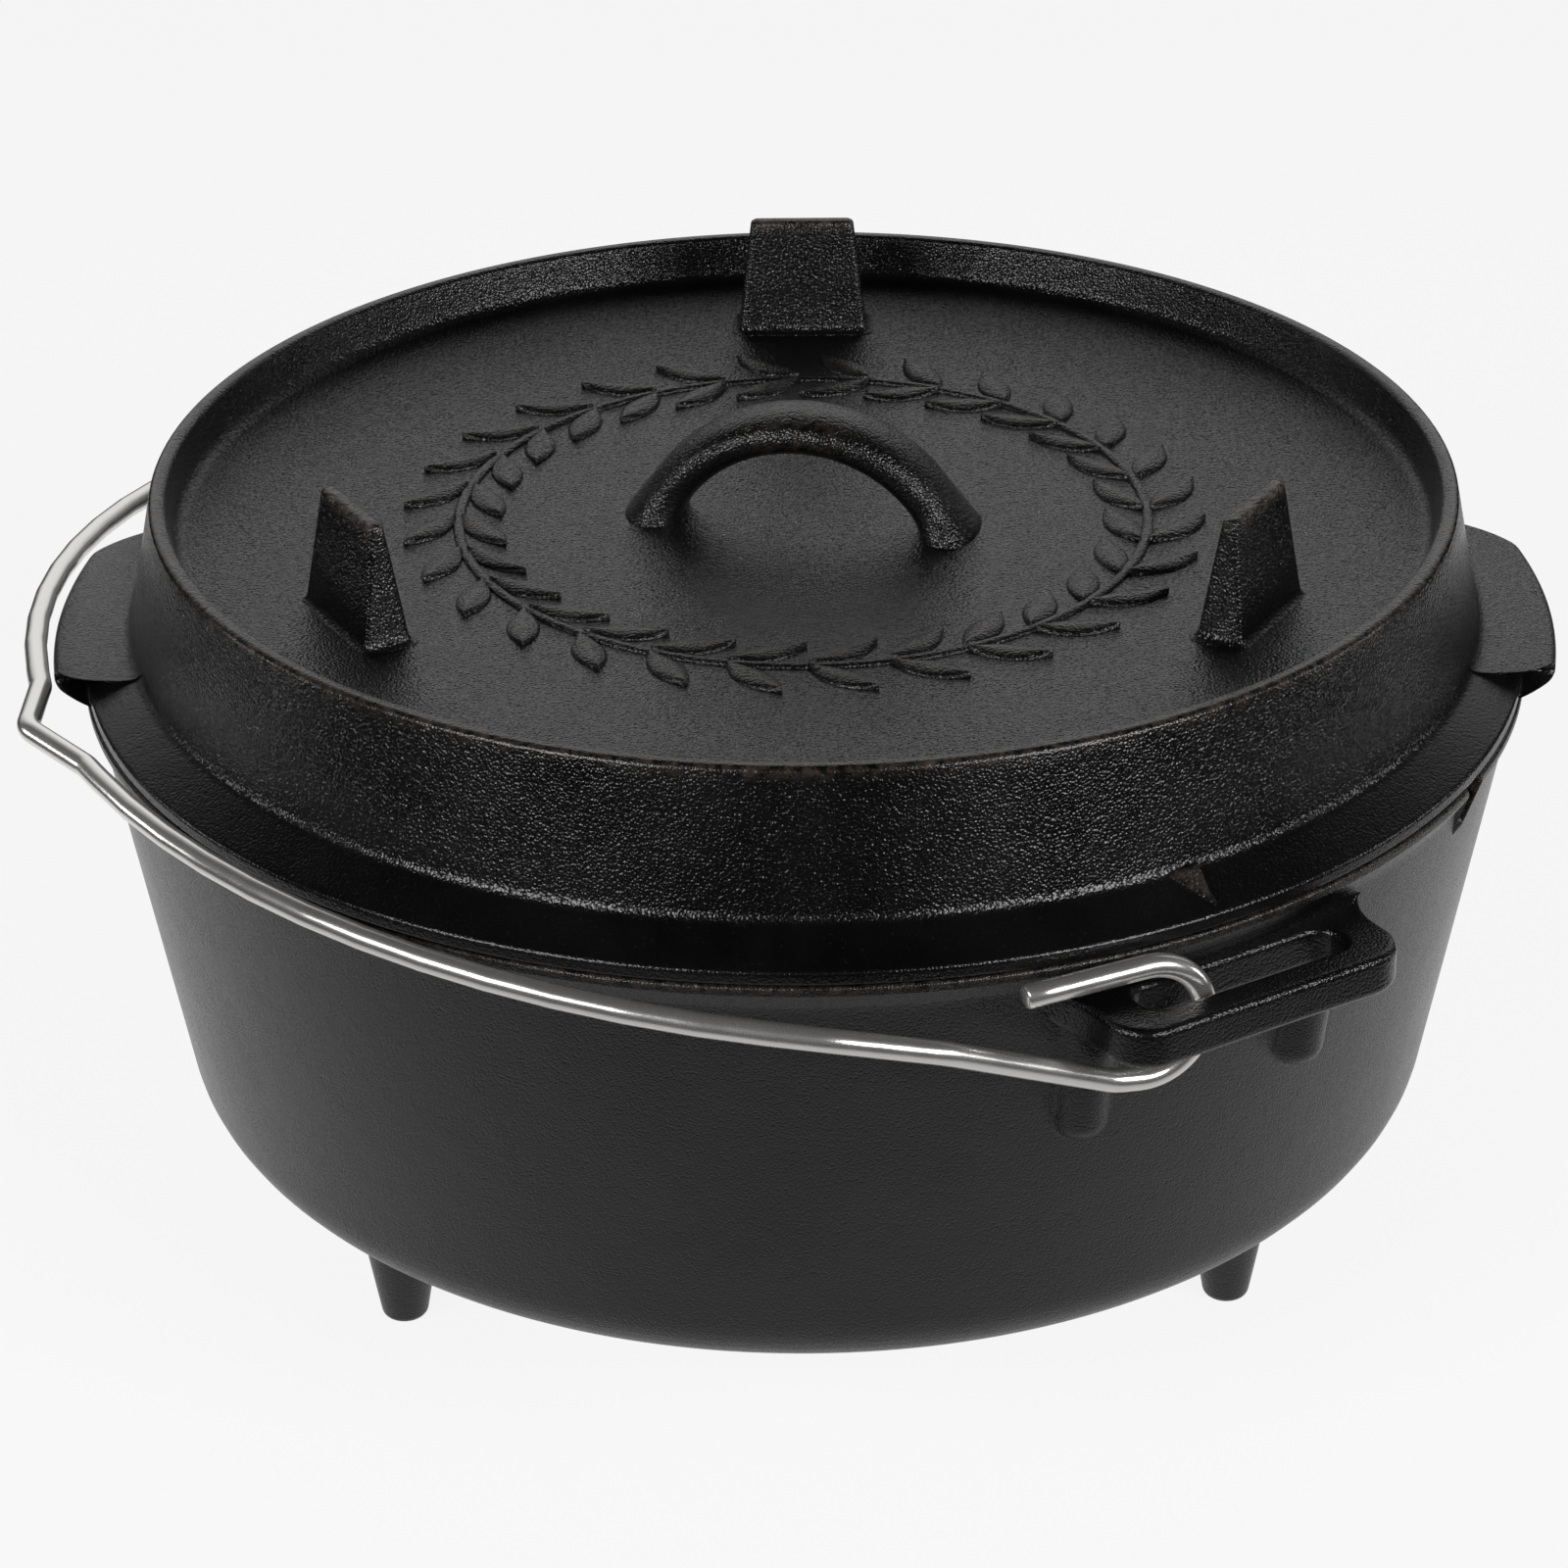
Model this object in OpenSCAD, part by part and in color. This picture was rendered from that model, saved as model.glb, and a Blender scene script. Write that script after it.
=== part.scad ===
// Camp dutch oven: a cast pot on three feet, a dished cast lid and a wire bail.
// Millimetres. The origin is on the pot's axis at floor level, +Z is up,
// and the two ears lie along X.

/* [Pot] */
// Outer radius of the rim
rim_r = 159.6; // [140:0.2:180]
// Height from the underside of the pot to the rim
pot_h = 105.2; // [80:0.2:140]
// Wall thickness
wall_t = 4.4; // [3.5:0.1:6.5]
// Bottom thickness
floor_t = 5.2; // [4:0.1:10]
// Draft of the wall from the vertical, in degrees
wall_draft = 10; // [5:0.5:13]
// Outer rounding between wall and bottom
corner_r = 16.7; // [10:0.1:24]
// How far the rim stands out past the wall
rim_over = 1.3; // [0.5:0.1:2.5]
// Height of the rim's upright edge
rim_edge_h = 2; // [1:0.1:3]
// Height over which the rim runs back into the wall
rim_cove_h = 3.8; // [2:0.1:5]
// Width of the probe notch in the rim
notch_w = 7; // [4:0.1:10]
// Depth of the probe notch below the rim
notch_d = 12; // [6:0.1:16]
// Turn of the probe notch from the ears, in degrees
notch_turn = 30; // [20:0.5:40]

/* [Feet] */
// Height of the feet
foot_h = 38.7; // [25:0.1:60]
// Diameter of a foot's end
foot_tip_d = 10; // [8:0.1:14]
// Diameter of a foot at the pot's underside
foot_root_d = 24; // [18:0.1:30]
// Distance of the feet inside the edge of the bottom
foot_inset = 32; // [24:0.1:45]
// Turn of the first of the three feet, in degrees
foot_turn = -90; // [-100:0.5:-80]

/* [Ears] */
// Drop of an ear's top face below the rim
ear_drop = 7.8; // [6.5:0.1:12]
// Thickness of an ear
ear_t = 8.8; // [7:0.1:11]
// Width across the two arms of an ear
ear_w = 69; // [60:0.2:80]
// Width of an arm
arm_w = 10; // [8:0.1:13]
// Radial width of the outer bar
bar_w = 7.6; // [6:0.1:10]
// Outer corner radius of an ear
ear_corner_r = 9; // [5:0.1:12]
// Fillet between an arm and the wall
ear_fillet_r = 9; // [4:0.1:10]
// Corner radius of the slot
slot_corner_r = 4; // [2:0.1:4]
// Width of the land between the pot's wall and the slot
slot_land = 1.9; // [1:0.1:2.4]
// Radius of the half-round boss under an arm, at the ear
boss_r = 7.2; // [6:0.1:8]
// Radius of a boss at its lower end
boss_end_r = 5.9; // [5:0.1:7]
// Length of a boss below the ear
boss_h = 29; // [15:0.1:34]
// How far a boss stands out of the wall just under the ear
boss_out = 4; // [2:0.1:4.2]
// Inward lean of a boss, in degrees
boss_lean = 5; // [2:0.5:9]
// Rounding at the lower end of a boss
boss_foot_r = 4; // [2:0.1:4.5]

/* [Lid] */
// Height of the lid's rim above the pot's rim
lid_h = 39.7; // [30:0.1:55]
// Outer radius of the lid's rim, measured in from the pot's rim
lid_rim_inset = 16.6; // [14:0.1:24]
// Width of the flat top of the lid's rim
lid_rim_w = 3.2; // [2:0.1:5]
// Draft of the lid's outer wall, in degrees
lid_draft = 11.3; // [6:0.1:14]
// Depth of the dish below the rim, at its edge
dish_d = 9.6; // [6:0.1:14]
// Further drop of the dish towards its middle
dish_sag = 2.4; // [0.5:0.1:4]
// Thickness of the lid's plate
plate_t = 5; // [4:0.1:7]
// Step between the pot's rim and the edge of the lid's flange
flange_inset = 0.4; // [0.2:0.1:1.5]
// Height of the flange's upright edge
flange_edge_h = 3; // [2:0.1:5]
// Slope of the flange, in degrees
flange_slope = 32; // [20:0.5:36]
// Rounding in the valley between wall and flange
valley_r = 4; // [2:0.1:6]
// Depth of the locating lip inside the pot
lip_d = 5; // [3:0.1:8]
// Clearance between the locating lip and the pot's wall
lip_gap = 0.8; // [0.5:0.1:2]
// Clearance between the lid's seat and the pot's rim
seat_gap = 0.1; // [0.05:0.05:0.5]
// Thickness of the locating lip
lip_t = 5.6; // [4.5:0.1:7]
// Turn of the lid on the pot, in degrees
lid_turn = 58; // [50:0.5:66]

/* [Lid fittings] */
// How far a lifting tab reaches past the flange
tab_over = 7; // [4:0.1:9]
// Half the width of a lifting tab where it leaves the lid's wall
tab_half_w = 41; // [30:0.5:46]
// Thickness of a lifting tab at its tip
tab_t = 3.8; // [3:0.1:5]
// Inward slant of a tab's sides, in degrees
tab_slant = 21; // [10:0.5:28]
// Corner radius of a lifting tab
tab_corner_r = 8; // [4:0.1:12]
// Height of a tab's underside above the pot's rim, at its tip
tab_rise = 1.8; // [1:0.1:3]
// Height of a lid leg above the lid's rim
leg_h = 16.2; // [10:0.1:24]
// Thickness of a lid leg at the plate
leg_root_t = 11.1; // [8:0.1:14]
// Thickness of a lid leg at its top
leg_top_t = 3.4; // [3:0.1:6]
// Width of a lid leg at the plate
leg_root_w = 30.7; // [24:0.1:36]
// Width of a lid leg at its top
leg_top_w = 24.2; // [16:0.1:28]
// Distance of the lid legs inside the lid's rim
leg_inset = 34.4; // [26:0.1:45]
// Turn of the first of the three lid legs on the lid, in degrees
leg_turn = 90; // [80:0.5:100]
// Width of the carrying arch
arch_w = 21; // [16:0.1:26]
// Thickness of the carrying arch
arch_t = 8.3; // [6:0.1:10]
// Half the span of the arch's centre line at the plate
arch_half = 33; // [28:0.1:40]
// Rise of the arch's centre line above the lid's rim
arch_rise = 9.6; // [6:0.1:14]
// Turn of the arch on the lid, in degrees
arch_turn = -10.5; // [-30:0.5:30]
// Width of the small ridge on the flange
ridge_w = 8.5; // [6:0.1:12]
// Height of the small ridge above the flange
ridge_h = 2.4; // [1.5:0.1:3.5]
// Turn of the small ridge on the lid, in degrees
ridge_turn = -60; // [-70:0.5:-50]

/* [Bail] */
// Diameter of the wire
wire_d = 5; // [4:0.1:6]
// Clearance between the wire and the pot's rim at the hooks
hook_gap = 1.1; // [0.6:0.1:2]
// Clearance between the wire and the ear's bar
slot_gap = 1.4; // [0.6:0.1:2]
// Play of a hook around its arm
hook_play = 4.8; // [3:0.1:6]
// Distance from the arm's middle to the closed end of a hook
hook_reach = 21; // [18:0.1:28]
// Length of a hook's free end past the arm's middle
tail_len = 19.5; // [12:0.1:26]
// How far a hook's free end leans towards the arm
tail_lean = 7; // [0:0.1:7.5]
// Rounding of a hook's closed end, as a share of half its height
hook_round = 0.92; // [0.6:0.01:0.93]
// Distance from the arm's middle to the bend where a leg meets the bail's plane
leg_run = 36; // [28:0.5:44]
// Clearance between the bail and the lifting tabs
tab_gap = 2.3; // [1.5:0.1:5]
// Clearance between the folded bail and the ear it lies on
rest_gap = 0.3; // [0.2:0.1:1]
// Depth of the hanging kink
kink_d = 6.8; // [4:0.1:10]
// Half the width of the hanging kink
kink_half_w = 20; // [16:0.1:26]

/* [Hidden] */
$fn = 120;
// Overlap of a cutter past the face that it cuts
over = 1;
// Straight steps that stand for an arc
arc_steps = 6;
// Width of the chamfers that stand for a casting's soft edges
edge_soft = 0.7;

// Levels, counted from the floor
rim_z = foot_h + pot_h;
ear_top_z = rim_z - ear_drop;
ear_mid_z = ear_top_z - ear_t / 2;
lid_rim_z = rim_z + lid_h;
dish_z = lid_rim_z - dish_d;

// Pot radii
wall_top_r = rim_r - rim_over;
wall_bottom_r = wall_top_r - pot_h * tan(wall_draft);
wall_across = wall_t / cos(wall_draft);
function wall_r(z) = wall_top_r - (rim_z - z) * tan(wall_draft);

// Lid radii
lid_rim_r = rim_r - lid_rim_inset;
flange_r = rim_r - flange_inset;
tab_tip_r = flange_r + tab_over;
leg_circle_r = lid_rim_r - leg_inset;
lip_r = wall_top_r - wall_across - lip_d * tan(wall_draft) - lip_gap;

// Bail: its hinge line runs through the pot's axis and one arm of each ear
arm_y = (ear_w - arm_w) / 2;
hook_r = rim_r + hook_gap + wire_d / 2;
hinge_turn = asin(arm_y / hook_r);
bail_r = tab_tip_r + tab_gap + wire_d / 2;
hook_half = norm([arm_w, ear_t]) / 2 + wire_d / 2 + hook_play;
slot_x = hook_r * cos(hinge_turn) + hook_reach * sin(hinge_turn) + wire_d / 2 + slot_gap;
ear_x = slot_x + bar_w;
slot_half = ear_w / 2 - arm_w;
slot_in_x = wall_r(ear_top_z) + slot_land;
// The folded bail lies along the far ear, which sets its rest angle
lie_h = ear_t / 2 + wire_d / 2 + rest_gap;
lie_far = arm_y * 2;
rest_angle = asin(lie_h / lie_far);
leg_w = (lie_h - leg_run * sin(rest_angle)) / cos(rest_angle);

// Points of a round stretch about a centre, from one angle to another
function arc(centre, r, from, to) =
    [for (i = [0 : arc_steps])
        let (a = from + (to - from) * i / arc_steps)
        centre + r * [cos(a), sin(a)]];

function mirrored(points) = [for (i = [len(points) - 1 : -1 : 0]) [points[i].x, -points[i].y]];

function unit(v) = v / norm(v);

// Half section of a wall with a rounded foot, from the axis out and up
function bowl_foot(bottom_r, bottom_z, round_r) =
    let (centre_r = bottom_r + round_r * tan(wall_draft) - round_r / cos(wall_draft))
    concat([[0, bottom_z]], arc([centre_r, bottom_z + round_r], round_r, -90, -wall_draft));

module pot_shell() {
    cove_z = rim_z - rim_edge_h - rim_cove_h;
    rotate_extrude()
        polygon(concat(
            bowl_foot(wall_bottom_r, foot_h, corner_r),
            [[wall_r(cove_z), cove_z], [rim_r, rim_z - rim_edge_h], [rim_r, rim_z], [0, rim_z]]));
}

module pot_cavity() {
    inner_z = foot_h + floor_t;
    top_z = rim_z + over;
    inner_r = wall_r(inner_z) - wall_across;
    rotate_extrude()
        polygon(concat(
            bowl_foot(inner_r, inner_z, corner_r - wall_t),
            [[wall_r(top_z) - wall_across, top_z], [0, top_z]]));
}

// Ear with its slot, along +X
module ear() {
    half_w = ear_w / 2;
    side_y = half_w + ear_fillet_r;
    wall_x = sqrt(pow(wall_r(ear_mid_z), 2) - pow(side_y, 2));
    root_x = wall_x - wall_t;
    side = concat(
        [[root_x, side_y]],
        arc([wall_x + ear_fillet_r, side_y], ear_fillet_r, 180, 270),
        arc([ear_x - ear_corner_r, half_w - ear_corner_r], ear_corner_r, 90, 0));
    slot_y = slot_half - slot_corner_r;
    slot_side = concat(
        arc([slot_in_x + slot_corner_r, slot_y], slot_corner_r, 180, 90),
        arc([slot_x - slot_corner_r, slot_y], slot_corner_r, 90, 0));
    translate([0, 0, ear_top_z - ear_t])
        linear_extrude(ear_t)
            difference() {
                polygon(concat(side, mirrored(side)));
                polygon(concat(slot_side, mirrored(slot_side)));
            }
}

// Half-round boss that carries an arm: a leaning taper with a rounded end
module boss() {
    ear_z = ear_top_z - ear_t;
    axis_r = wall_r(ear_z) + boss_out - boss_r;
    translate([axis_r, 0, ear_z])
        rotate([0, boss_lean, 0])
            rotate_extrude()
                polygon(concat(
                    [[0, -boss_h]],
                    arc([boss_end_r - boss_foot_r, boss_foot_r - boss_h], boss_foot_r, -90, 0),
                    [[boss_r, 0], [boss_r, ear_t / 2], [0, ear_t / 2]]));
}

module foot() {
    translate([wall_bottom_r - foot_inset, 0, 0])
        cylinder(h = foot_h + floor_t / 2, d1 = foot_tip_d,
                 d2 = foot_root_d + (foot_root_d - foot_tip_d) * floor_t / 2 / foot_h);
}

module probe_notch() {
    rotate([0, 0, notch_turn])
        translate([wall_bottom_r, -notch_w / 2, rim_z - notch_d])
            cube([rim_r - wall_bottom_r + over, notch_w, notch_d + over]);
}

module pot() {
    color("#2b2b2d")
        difference() {
            union() {
                pot_shell();
                for (turn = [0, 180])
                    rotate([0, 0, turn]) {
                        ear();
                        for (side = [-1, 1])
                            rotate([0, 0, side * hinge_turn]) boss();
                    }
                for (turn = [0, 120, 240])
                    rotate([0, 0, foot_turn + turn]) foot();
            }
            pot_cavity();
            probe_notch();
        }
}

// Radius of the lid's outer wall and height of its flange, above the seat
function lid_wall_r(z) = lid_rim_r + (lid_rim_z - z) * tan(lid_draft);
function flange_z(r) = rim_z + flange_edge_h + (flange_r - r) * tan(flange_slope);

// Rounding in the valley, tangent to the lid's wall and to its flange
function valley() =
    let (
        wall_n = [cos(lid_draft), sin(lid_draft)],
        slope_n = [sin(flange_slope), cos(flange_slope)],
        wall_c = wall_n * [lid_rim_r, lid_rim_z] + valley_r,
        slope_c = slope_n * [flange_r, rim_z + flange_edge_h] + valley_r,
        det = wall_n.x * slope_n.y - wall_n.y * slope_n.x,
        centre_r = (wall_c * slope_n.y - slope_c * wall_n.y) / det,
        centre_z = (slope_c * wall_n.x - wall_c * slope_n.x) / det,
        centre = [centre_r, centre_z])
    arc(centre, valley_r, 270 - flange_slope, 180 + lid_draft);

// Dish, deeper towards the middle
function dish_floor(r) = dish_z - dish_sag * (1 - pow(r / lid_rim_r, 2));

module lid_shell() {
    fillet = 2.5;
    haunch = 4;
    dish_r = lid_rim_r - lid_rim_w;
    floor_r = dish_r - fillet;
    plate_r = floor_r - fillet / 2;
    seat_z = rim_z + seat_gap;
    edge_z = rim_z + flange_edge_h;
    dish = [for (i = [0 : arc_steps])
        let (r = floor_r * i / arc_steps)
        [r, dish_floor(r)]];
    under = [for (i = [arc_steps : -1 : 0])
        let (r = plate_r * i / arc_steps)
        [r, dish_floor(r) - plate_t]];
    rim = [
        [dish_r - fillet / 3, dish_z + fillet * 2 / 3],
        [dish_r, lid_rim_z - edge_soft],
        [dish_r + edge_soft, lid_rim_z],
        [lid_rim_r - edge_soft, lid_rim_z],
        [lid_wall_r(lid_rim_z - edge_soft), lid_rim_z - edge_soft]];
    flange = [
        [flange_r - edge_soft, flange_z(flange_r - edge_soft)],
        [flange_r, edge_z - edge_soft],
        [flange_r, seat_z],
        [lip_r, seat_z]];
    lip = [
        [lip_r, rim_z - lip_d],
        [lip_r - lip_t, rim_z - lip_d],
        [plate_r + haunch / 2, dish_z - plate_t - haunch]];
    wall_foot = [for (i = [arc_steps : -1 : 0]) valley()[i]];
    rotate_extrude()
        polygon(concat(dish, rim, wall_foot, flange, lip, under));
}

// Lifting tab along +X: a thin ring section cut to a tapered plan
module lifting_tab() {
    edge_z = rim_z + flange_edge_h;
    sunk = 3;
    wall_r_in = lid_wall_r(edge_z);
    inner_r = wall_r_in - sunk;
    inner_z = flange_z(wall_r_in);
    under_z = rim_z + edge_soft;
    tip_z = rim_z + tab_rise;
    function side_y(x) = tab_half_w - (x - inner_r) * tan(tab_slant);
    tip_x = sqrt(pow(tab_tip_r, 2) - pow(side_y(tab_tip_r), 2));
    corner_x = tip_x - tab_corner_r * (1 - sin(tab_slant));
    root_x = inner_r - tab_corner_r;
    corner_c = [corner_x, side_y(corner_x)] - tab_corner_r * [sin(tab_slant), cos(tab_slant)];
    corner = arc(corner_c, tab_corner_r, 90 - tab_slant, 0);
    side = concat(
        [[root_x, side_y(root_x)]],
        corner,
        [[tab_tip_r + over, corner[arc_steps].y]]);
    section = [
        [inner_r, under_z],
        [flange_r - over, under_z],
        [tab_tip_r - over, tip_z],
        [tab_tip_r, tip_z + over],
        [tab_tip_r, tip_z + tab_t - over],
        [tab_tip_r - over, tip_z + tab_t],
        [wall_r_in, inner_z],
        [inner_r, inner_z]];
    intersection() {
        rotate_extrude() polygon(section);
        translate([0, 0, rim_z])
            linear_extrude(lid_h)
                polygon(concat(side, mirrored(side)));
    }
}

// Lid leg: a tapered plate that also carries the lid upside down
module lid_leg() {
    base_z = dish_floor(leg_circle_r) - plate_t / 2;
    top_z = lid_rim_z + leg_h;
    leg_z = top_z - dish_floor(leg_circle_r);
    sunk = plate_t / 2 / leg_z;
    root_t = leg_root_t + (leg_root_t - leg_top_t) * sunk;
    root_w = leg_root_w + (leg_root_w - leg_top_w) * sunk;
    function taper(root, top) =
        [[-root / 2, base_z], [root / 2, base_z], [top / 2, top_z], [-top / 2, top_z]];
    translate([leg_circle_r, 0, 0])
        intersection() {
            rotate([90, 0, 0])
                linear_extrude(root_w + over, center = true)
                    polygon(taper(root_t, leg_top_t));
            rotate([90, 0, 90])
                linear_extrude(root_t + over, center = true)
                    polygon(taper(root_w, leg_top_w));
        }
}

// Carrying arch: a flat oval strap bent to a round bow
module arch() {
    foot_z = dish_floor(0);
    top_z = lid_rim_z + arch_rise;
    rise = top_z - foot_z;
    bow_r = (arch_half * arch_half + rise * rise) / (2 * rise);
    sweep = acos((bow_r - rise - plate_t / 4) / (bow_r + arch_t / 2));
    half_flat = (arch_w - arch_t) / 2;
    half_section = arc([0, half_flat], arch_t / 2, 0, 180);
    translate([0, 0, top_z - bow_r])
        rotate([90, sweep - 90, 0])
            rotate_extrude(angle = 2 * sweep)
                translate([bow_r, 0])
                    polygon(concat(half_section, [for (i = [0 : arc_steps]) -half_section[i]]));
}

// Small ridge down the flange
module ridge() {
    start_r = flange_r - edge_soft;
    run = (start_r - lid_wall_r(rim_z + flange_edge_h)) / cos(flange_slope);
    half_w = ridge_w / 2;
    translate([start_r, 0, flange_z(start_r)])
        rotate([0, flange_slope - 90, 0])
            linear_extrude(run)
                polygon([[0, -half_w], [ridge_h, 0], [0, half_w], [-over, 0]]);
}

module lid() {
    color("#28282a")
        rotate([0, 0, lid_turn]) {
            lid_shell();
            for (turn = [0, 180])
                rotate([0, 0, turn]) lifting_tab();
            for (turn = [0, 120, 240])
                rotate([0, 0, leg_turn + turn]) lid_leg();
            rotate([0, 0, arch_turn]) arch();
            rotate([0, 0, ridge_turn]) ridge();
        }
}

// Half of the bail's corner points, from a hook's free end to the kink,
// as [towards the kink, along the hinge line, out of the bail's plane]
function big_corner(near, far) =
    let (
        from = atan2(near.x, near.y) + acos(bail_r / norm(near)),
        to = atan2(far.x, far.y) - acos(bail_r / norm(far)),
        mid = (from + to) / 2)
    bail_r / cos((to - from) / 2) * [sin(mid), cos(mid), 0];

// How far a leg stands out at its bend, and how far the big arc's ends lie outside the arc
leg_out = 1.8;
near_out = 0.4;
far_out = 0.15;
// Where a leg leaves the hook's level, before the arm's middle
leg_from = -3;

function half_corners() =
    let (
        near = [lie_far, sqrt(pow(bail_r + near_out, 2) - pow(lie_far, 2)), 0],
        far = [sqrt(pow(bail_r + far_out, 2) - pow(kink_half_w, 2)), kink_half_w, 0])
    [
        [tail_len, hook_r, hook_half - tail_lean],
        [-hook_reach, hook_r, hook_half],
        [-hook_reach, hook_r, -hook_half],
        [leg_from, hook_r, -hook_half],
        [leg_run, hook_r + leg_out, -leg_w],
        near,
        big_corner(near, far),
        far
    ];

// Bend radii at those corners, and at the kink
hook_bend_r = hook_half * hook_round;
leg_from_r = 14;
leg_bend_r = 18;
arc_bend_r = 25;
kink_side_r = 10;
kink_bend_r = 8;
half_bends = [0, hook_bend_r, hook_bend_r, leg_from_r, leg_bend_r, arc_bend_r, bail_r, kink_side_r];
// Facets of the wire: sides round it, and degrees between rings
wire_sides = 16;
bend_pitch = 12;
arc_pitch = 2;

// The second half is the first one turned half a turn about the kink's line
function bail_corners() =
    let (
        half = half_corners(),
        other = [for (i = [len(half) - 1 : -1 : 0]) [half[i].x, -half[i].y, -half[i].z]])
    concat(half, [[bail_r + kink_d, 0, 0]], other);

function bail_bends() =
    concat(half_bends, [kink_bend_r], [for (i = [len(half_bends) - 1 : -1 : 0]) half_bends[i]]);

// Points of the wire's centre line, each with its direction, round one corner
function bend(corner, into, out, r) =
    let (
        turn = acos(into * out),
        centre = corner + unit(out - into) * r / cos(turn / 2),
        spoke = corner - into * r * tan(turn / 2) - centre,
        steps = ceil(turn / (r > bail_r / 2 ? arc_pitch : bend_pitch)))
    [for (i = [0 : steps]) let (a = turn * i / steps)
        [centre + spoke * cos(a) + into * r * sin(a), into * cos(a) - spoke / r * sin(a)]];

function centre_line(corners, bends) =
    let (
        last = len(corners) - 1,
        dirs = [for (i = [0 : last - 1]) unit(corners[i + 1] - corners[i])])
    concat(
        [[corners[0], dirs[0]]],
        [for (i = [1 : last - 1]) each bend(corners[i], dirs[i - 1], dirs[i], bends[i])],
        [[corners[last], dirs[last - 1]]]);

// The side direction of a ring, carried along the wire without twist
function carried(side, along) = unit(side - along * (side * along));

// Angles from the kink at which the one wire is cut square across into runs that lie end to end,
// so that each run's collision hulls stay as slim as the wire beside the lid's tabs
run_cuts = [37.5, 22.5, 7.5, -7.5, -22.5, -37.5];

module wire(corners, bends, run) {
    line = centre_line(corners, bends);
    cuts = concat([0],
        [for (cut = run_cuts) len([for (p = line) if (atan2(p[0].y, p[0].x) > cut) p]) - 1],
        [len(line) - 1]);
    first = cuts[run];
    rings = cuts[run + 1] - first + 1;
    sides = [for (i = 0, side = carried([0, 1, 0], line[0][1]); i < len(line);
                  i = i + 1, side = i < len(line) ? carried(side, line[i][1]) : side) side];
    points = [for (i = [first : first + rings - 1]) for (k = [0 : wire_sides - 1])
        let (a = 360 * k / wire_sides, up = cross(line[i][1], sides[i]))
        line[i][0] + wire_d / 2 * (sides[i] * cos(a) + up * sin(a))];
    walls = [for (i = [0 : rings - 2]) for (k = [0 : wire_sides - 1])
        let (a = i * wire_sides + k, b = i * wire_sides + (k + 1) % wire_sides)
        each [[a, a + wire_sides, b], [b, a + wire_sides, b + wire_sides]]];
    first_end = [for (k = [0 : wire_sides - 1]) k];
    last_end = [for (k = [wire_sides - 1 : -1 : 0]) (rings - 1) * wire_sides + k];
    polyhedron(points, concat([first_end], walls, [last_end]));
}

module bail_run(run) {
    color("#c9cacc")
        translate([0, 0, ear_mid_z])
            rotate([0, -rest_angle, -90 - hinge_turn])
                wire(bail_corners(), bail_bends(), run);
}

pot();
lid();
bail_run(0);  // bail_front_hook
bail_run(1);  // bail_front_outer
bail_run(2);  // bail_front_inner
bail_run(3);  // bail
bail_run(4);  // bail_rear_inner
bail_run(5);  // bail_rear_outer
bail_run(6);  // bail_rear_hook
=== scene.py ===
"""Camp dutch oven: a cast pot on three feet, a dished cast lid and a wire bail.

The pieces are surfaces on grids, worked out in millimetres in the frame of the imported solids.
"""

import math

import bpy
import numpy as np
from mathutils import Matrix, Vector


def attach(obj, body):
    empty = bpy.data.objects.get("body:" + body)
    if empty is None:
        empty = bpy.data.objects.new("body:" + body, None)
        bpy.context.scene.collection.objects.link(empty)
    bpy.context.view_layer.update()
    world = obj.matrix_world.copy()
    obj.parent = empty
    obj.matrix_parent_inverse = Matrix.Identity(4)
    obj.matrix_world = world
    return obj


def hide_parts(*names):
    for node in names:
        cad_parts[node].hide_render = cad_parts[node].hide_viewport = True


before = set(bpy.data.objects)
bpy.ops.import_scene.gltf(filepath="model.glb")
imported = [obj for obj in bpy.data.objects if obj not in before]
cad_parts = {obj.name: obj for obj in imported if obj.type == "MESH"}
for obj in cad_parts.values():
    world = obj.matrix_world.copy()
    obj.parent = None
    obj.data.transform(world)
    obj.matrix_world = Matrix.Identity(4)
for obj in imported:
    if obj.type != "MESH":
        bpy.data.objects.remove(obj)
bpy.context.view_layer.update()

MM = 0.001

# Pot
RIM_R = 159.6
RIM_Z = 143.9
FOOT_H = 38.7
WALL_T = 4.4
FLOOR_T = 5.2
WALL_DRAFT = math.radians(10)
CORNER_R = 16.7
RIM_OVER = 1.3
RIM_EDGE_H = 2.0
RIM_COVE_H = 3.8
NOTCH_W = 7.0
NOTCH_D = 12.0
NOTCH_TURN = math.radians(30)

# Feet
FOOT_TIP_R = 5.0
FOOT_ROOT_R = 12.0
FOOT_CIRCLE = 107.75
FOOT_TURNS = (-90, 30, 150)

# Ears and the bosses under their arms
EAR_TOP = 136.1
EAR_T = 8.8
EAR_HALF = 34.5
EAR_X = 175.807
EAR_CORNER_R = 9.0
EAR_FLARE_R = 14.0
EAR_FLARE_TURN = math.radians(64)
EAR_EDGE_R = 1.7
EAR_SUNK = 1.0
EAR_BURIED = 2.8
SLOT_IN_X = 158.825
SLOT_X = 168.207
SLOT_HALF = 24.5
SLOT_CORNER_R = 4.0
BOSS_TURN = math.radians(10.414)
BOSS_R = 7.2
BOSS_END_R = 5.9
BOSS_H = 29.0
BOSS_OUT = 4.0
BOSS_LEAN = math.radians(5)
BOSS_FOOT_R = 4.0

# Lid
LID_TURN = math.radians(58)
LID_RIM_R = 143.0
LID_RIM_Z = 183.6
LID_RIM_W = 3.4
LID_DRAFT = math.radians(11.3)
DISH_Z = 174.0
DISH_SAG = 2.4
PLATE_T = 5.0
FLANGE_R = 159.2
FLANGE_EDGE_H = 3.0
FLANGE_SLOPE = math.radians(32)
VALLEY_R = 4.0
SEAT_Z = 144.0
LIP_R = 152.15
LIP_D = 5.0
LIP_T = 5.6

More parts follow.
